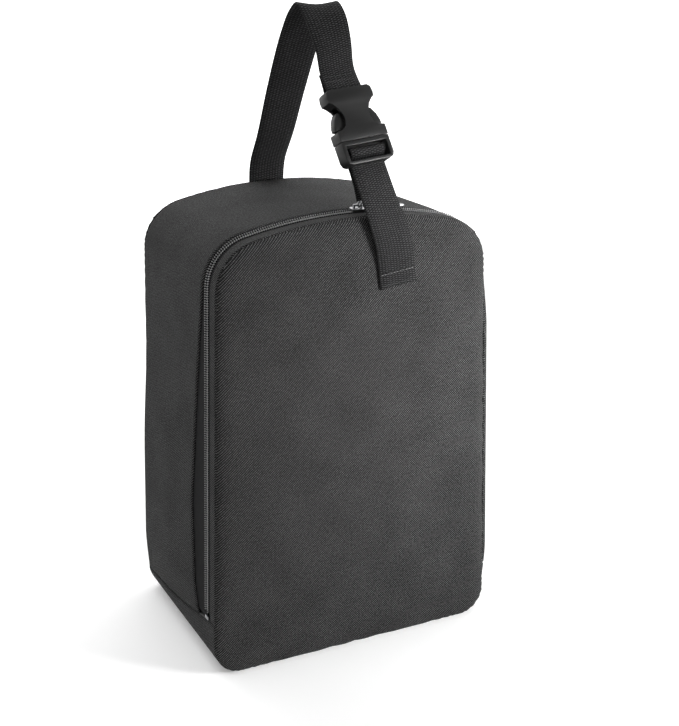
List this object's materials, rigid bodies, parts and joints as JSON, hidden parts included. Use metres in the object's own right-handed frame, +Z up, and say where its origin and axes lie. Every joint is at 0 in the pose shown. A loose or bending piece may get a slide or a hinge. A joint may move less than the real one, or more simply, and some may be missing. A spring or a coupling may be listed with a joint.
{
  "type": "shoe bag",
  "caption": "Arched, padded fabric shoe bag with a zipped drop-down front flap and a webbing handle closed by a side-release buckle.",
  "frame": {"origin": "middle of the flat base, on the surface that the bag stands on", "axes": "+Z up, +X to the right seen from the front, front flap towards -Y"},
  "size_m": [0.2358, 0.1692, 0.4912],
  "materials": {
    "shell_fabric": "dark charcoal woven polyester oxford with a fine diagonal weave",
    "padding_foam": "grey closed-cell sheet foam",
    "lining_fabric": "thin plain-woven polyester lining",
    "base_board": "matt polyethylene stiffener sheet",
    "zip_tape": "black herringbone zip tape",
    "zip_coil": "black nylon coil with a soft shine",
    "slider_metal": "bright nickel plate",
    "webbing": "black ribbed polypropylene webbing",
    "buckle_nylon": "satin black moulded acetal"
  },
  "bodies": {
    "shell": {"back_panel": "shell_fabric", "side_gusset": "shell_fabric", "bottom_band": "shell_fabric", "front_panel_foot": "shell_fabric", "back_foam": "padding_foam", "gusset_foam": "padding_foam", "base_foam": "padding_foam", "foot_foam": "padding_foam", "back_lining": "lining_fabric", "gusset_lining": "lining_fabric", "base_lining": "lining_fabric", "back_seam_binding": "webbing", "base_board": "base_board", "zip_outer_tape": "zip_tape", "zip_outer_teeth": "zip_coil", "zip_end_stop_left": "slider_metal", "zip_end_stop_right": "slider_metal", "strap_back_end": "webbing"},
    "flap": {"front_panel": "shell_fabric", "flap_edge_strip": "shell_fabric", "front_foam": "padding_foam", "front_lining": "lining_fabric", "zip_inner_tape": "zip_tape", "zip_inner_teeth": "zip_coil", "strap_front_end": "webbing"},
    "front_strap": {"front_strap": "webbing", "buckle_male": "buckle_nylon"},
    "prong_left": {"prong_left": "buckle_nylon"},
    "prong_right": {"prong_right": "buckle_nylon"},
    "handle": {"handle_strap": "webbing", "buckle_female": "buckle_nylon"},
    "slider_left": {"zip_slider_left": "slider_metal"},
    "slider_right": {"zip_slider_right": "slider_metal"},
    "pull_left": {"zip_pull_left": "slider_metal"},
    "pull_right": {"zip_pull_right": "slider_metal"}
  },
  "joints": [
    {"name": "flap_open", "type": "hinge", "parent": "shell", "child": "flap", "pos_m": [0, -0.0812, 0.042], "axis": [1, 0, 0], "range_deg": [0, 95]},
    {"name": "front_strap_swing", "type": "hinge", "parent": "flap", "child": "front_strap", "pos_m": [0.0311, -0.083, 0.30515], "axis": [0.9923, 0, 0.124], "range_deg": [0, 150]},
    {"name": "prong_left_squeeze", "type": "hinge", "parent": "front_strap", "child": "prong_left", "pos_m": [0.0007, -0.06369, 0.3979], "axis": [-0.121, 0.861, -0.494], "range_deg": [0, 7], "stiffness_Nm_per_rad": 0.05},
    {"name": "prong_right_squeeze", "type": "hinge", "parent": "front_strap", "child": "prong_right", "pos_m": [0.02237, -0.06003, 0.39897], "axis": [0.121, -0.861, 0.494], "range_deg": [0, 7], "stiffness_Nm_per_rad": 0.05},
    {"name": "handle_swing", "type": "hinge", "parent": "shell", "child": "handle", "pos_m": [-0.001, 0.083, 0.33615], "axis": [-1, 0, 0], "range_deg": [0, 150]},
    {"name": "slider_left_travel", "type": "hinge", "parent": "shell", "child": "slider_left", "pos_m": [0, -0.06, -0.00801], "axis": [0, -1, 0], "range_deg": [0, 12.5]},
    {"name": "slider_right_travel", "type": "hinge", "parent": "shell", "child": "slider_right", "pos_m": [0, -0.06, -0.00801], "axis": [0, 1, 0], "range_deg": [0, 8]},
    {"name": "pull_left_tilt", "type": "hinge", "parent": "slider_left", "child": "pull_left", "pos_m": [0.0101, -0.06, 0.34926], "axis": [0, -1, 0], "range_deg": [-10, 115]},
    {"name": "pull_right_tilt", "type": "hinge", "parent": "slider_right", "child": "pull_right", "pos_m": [0.02524, -0.06, 0.34851], "axis": [0, -1, 0], "range_deg": [0, 95]}
  ]
}
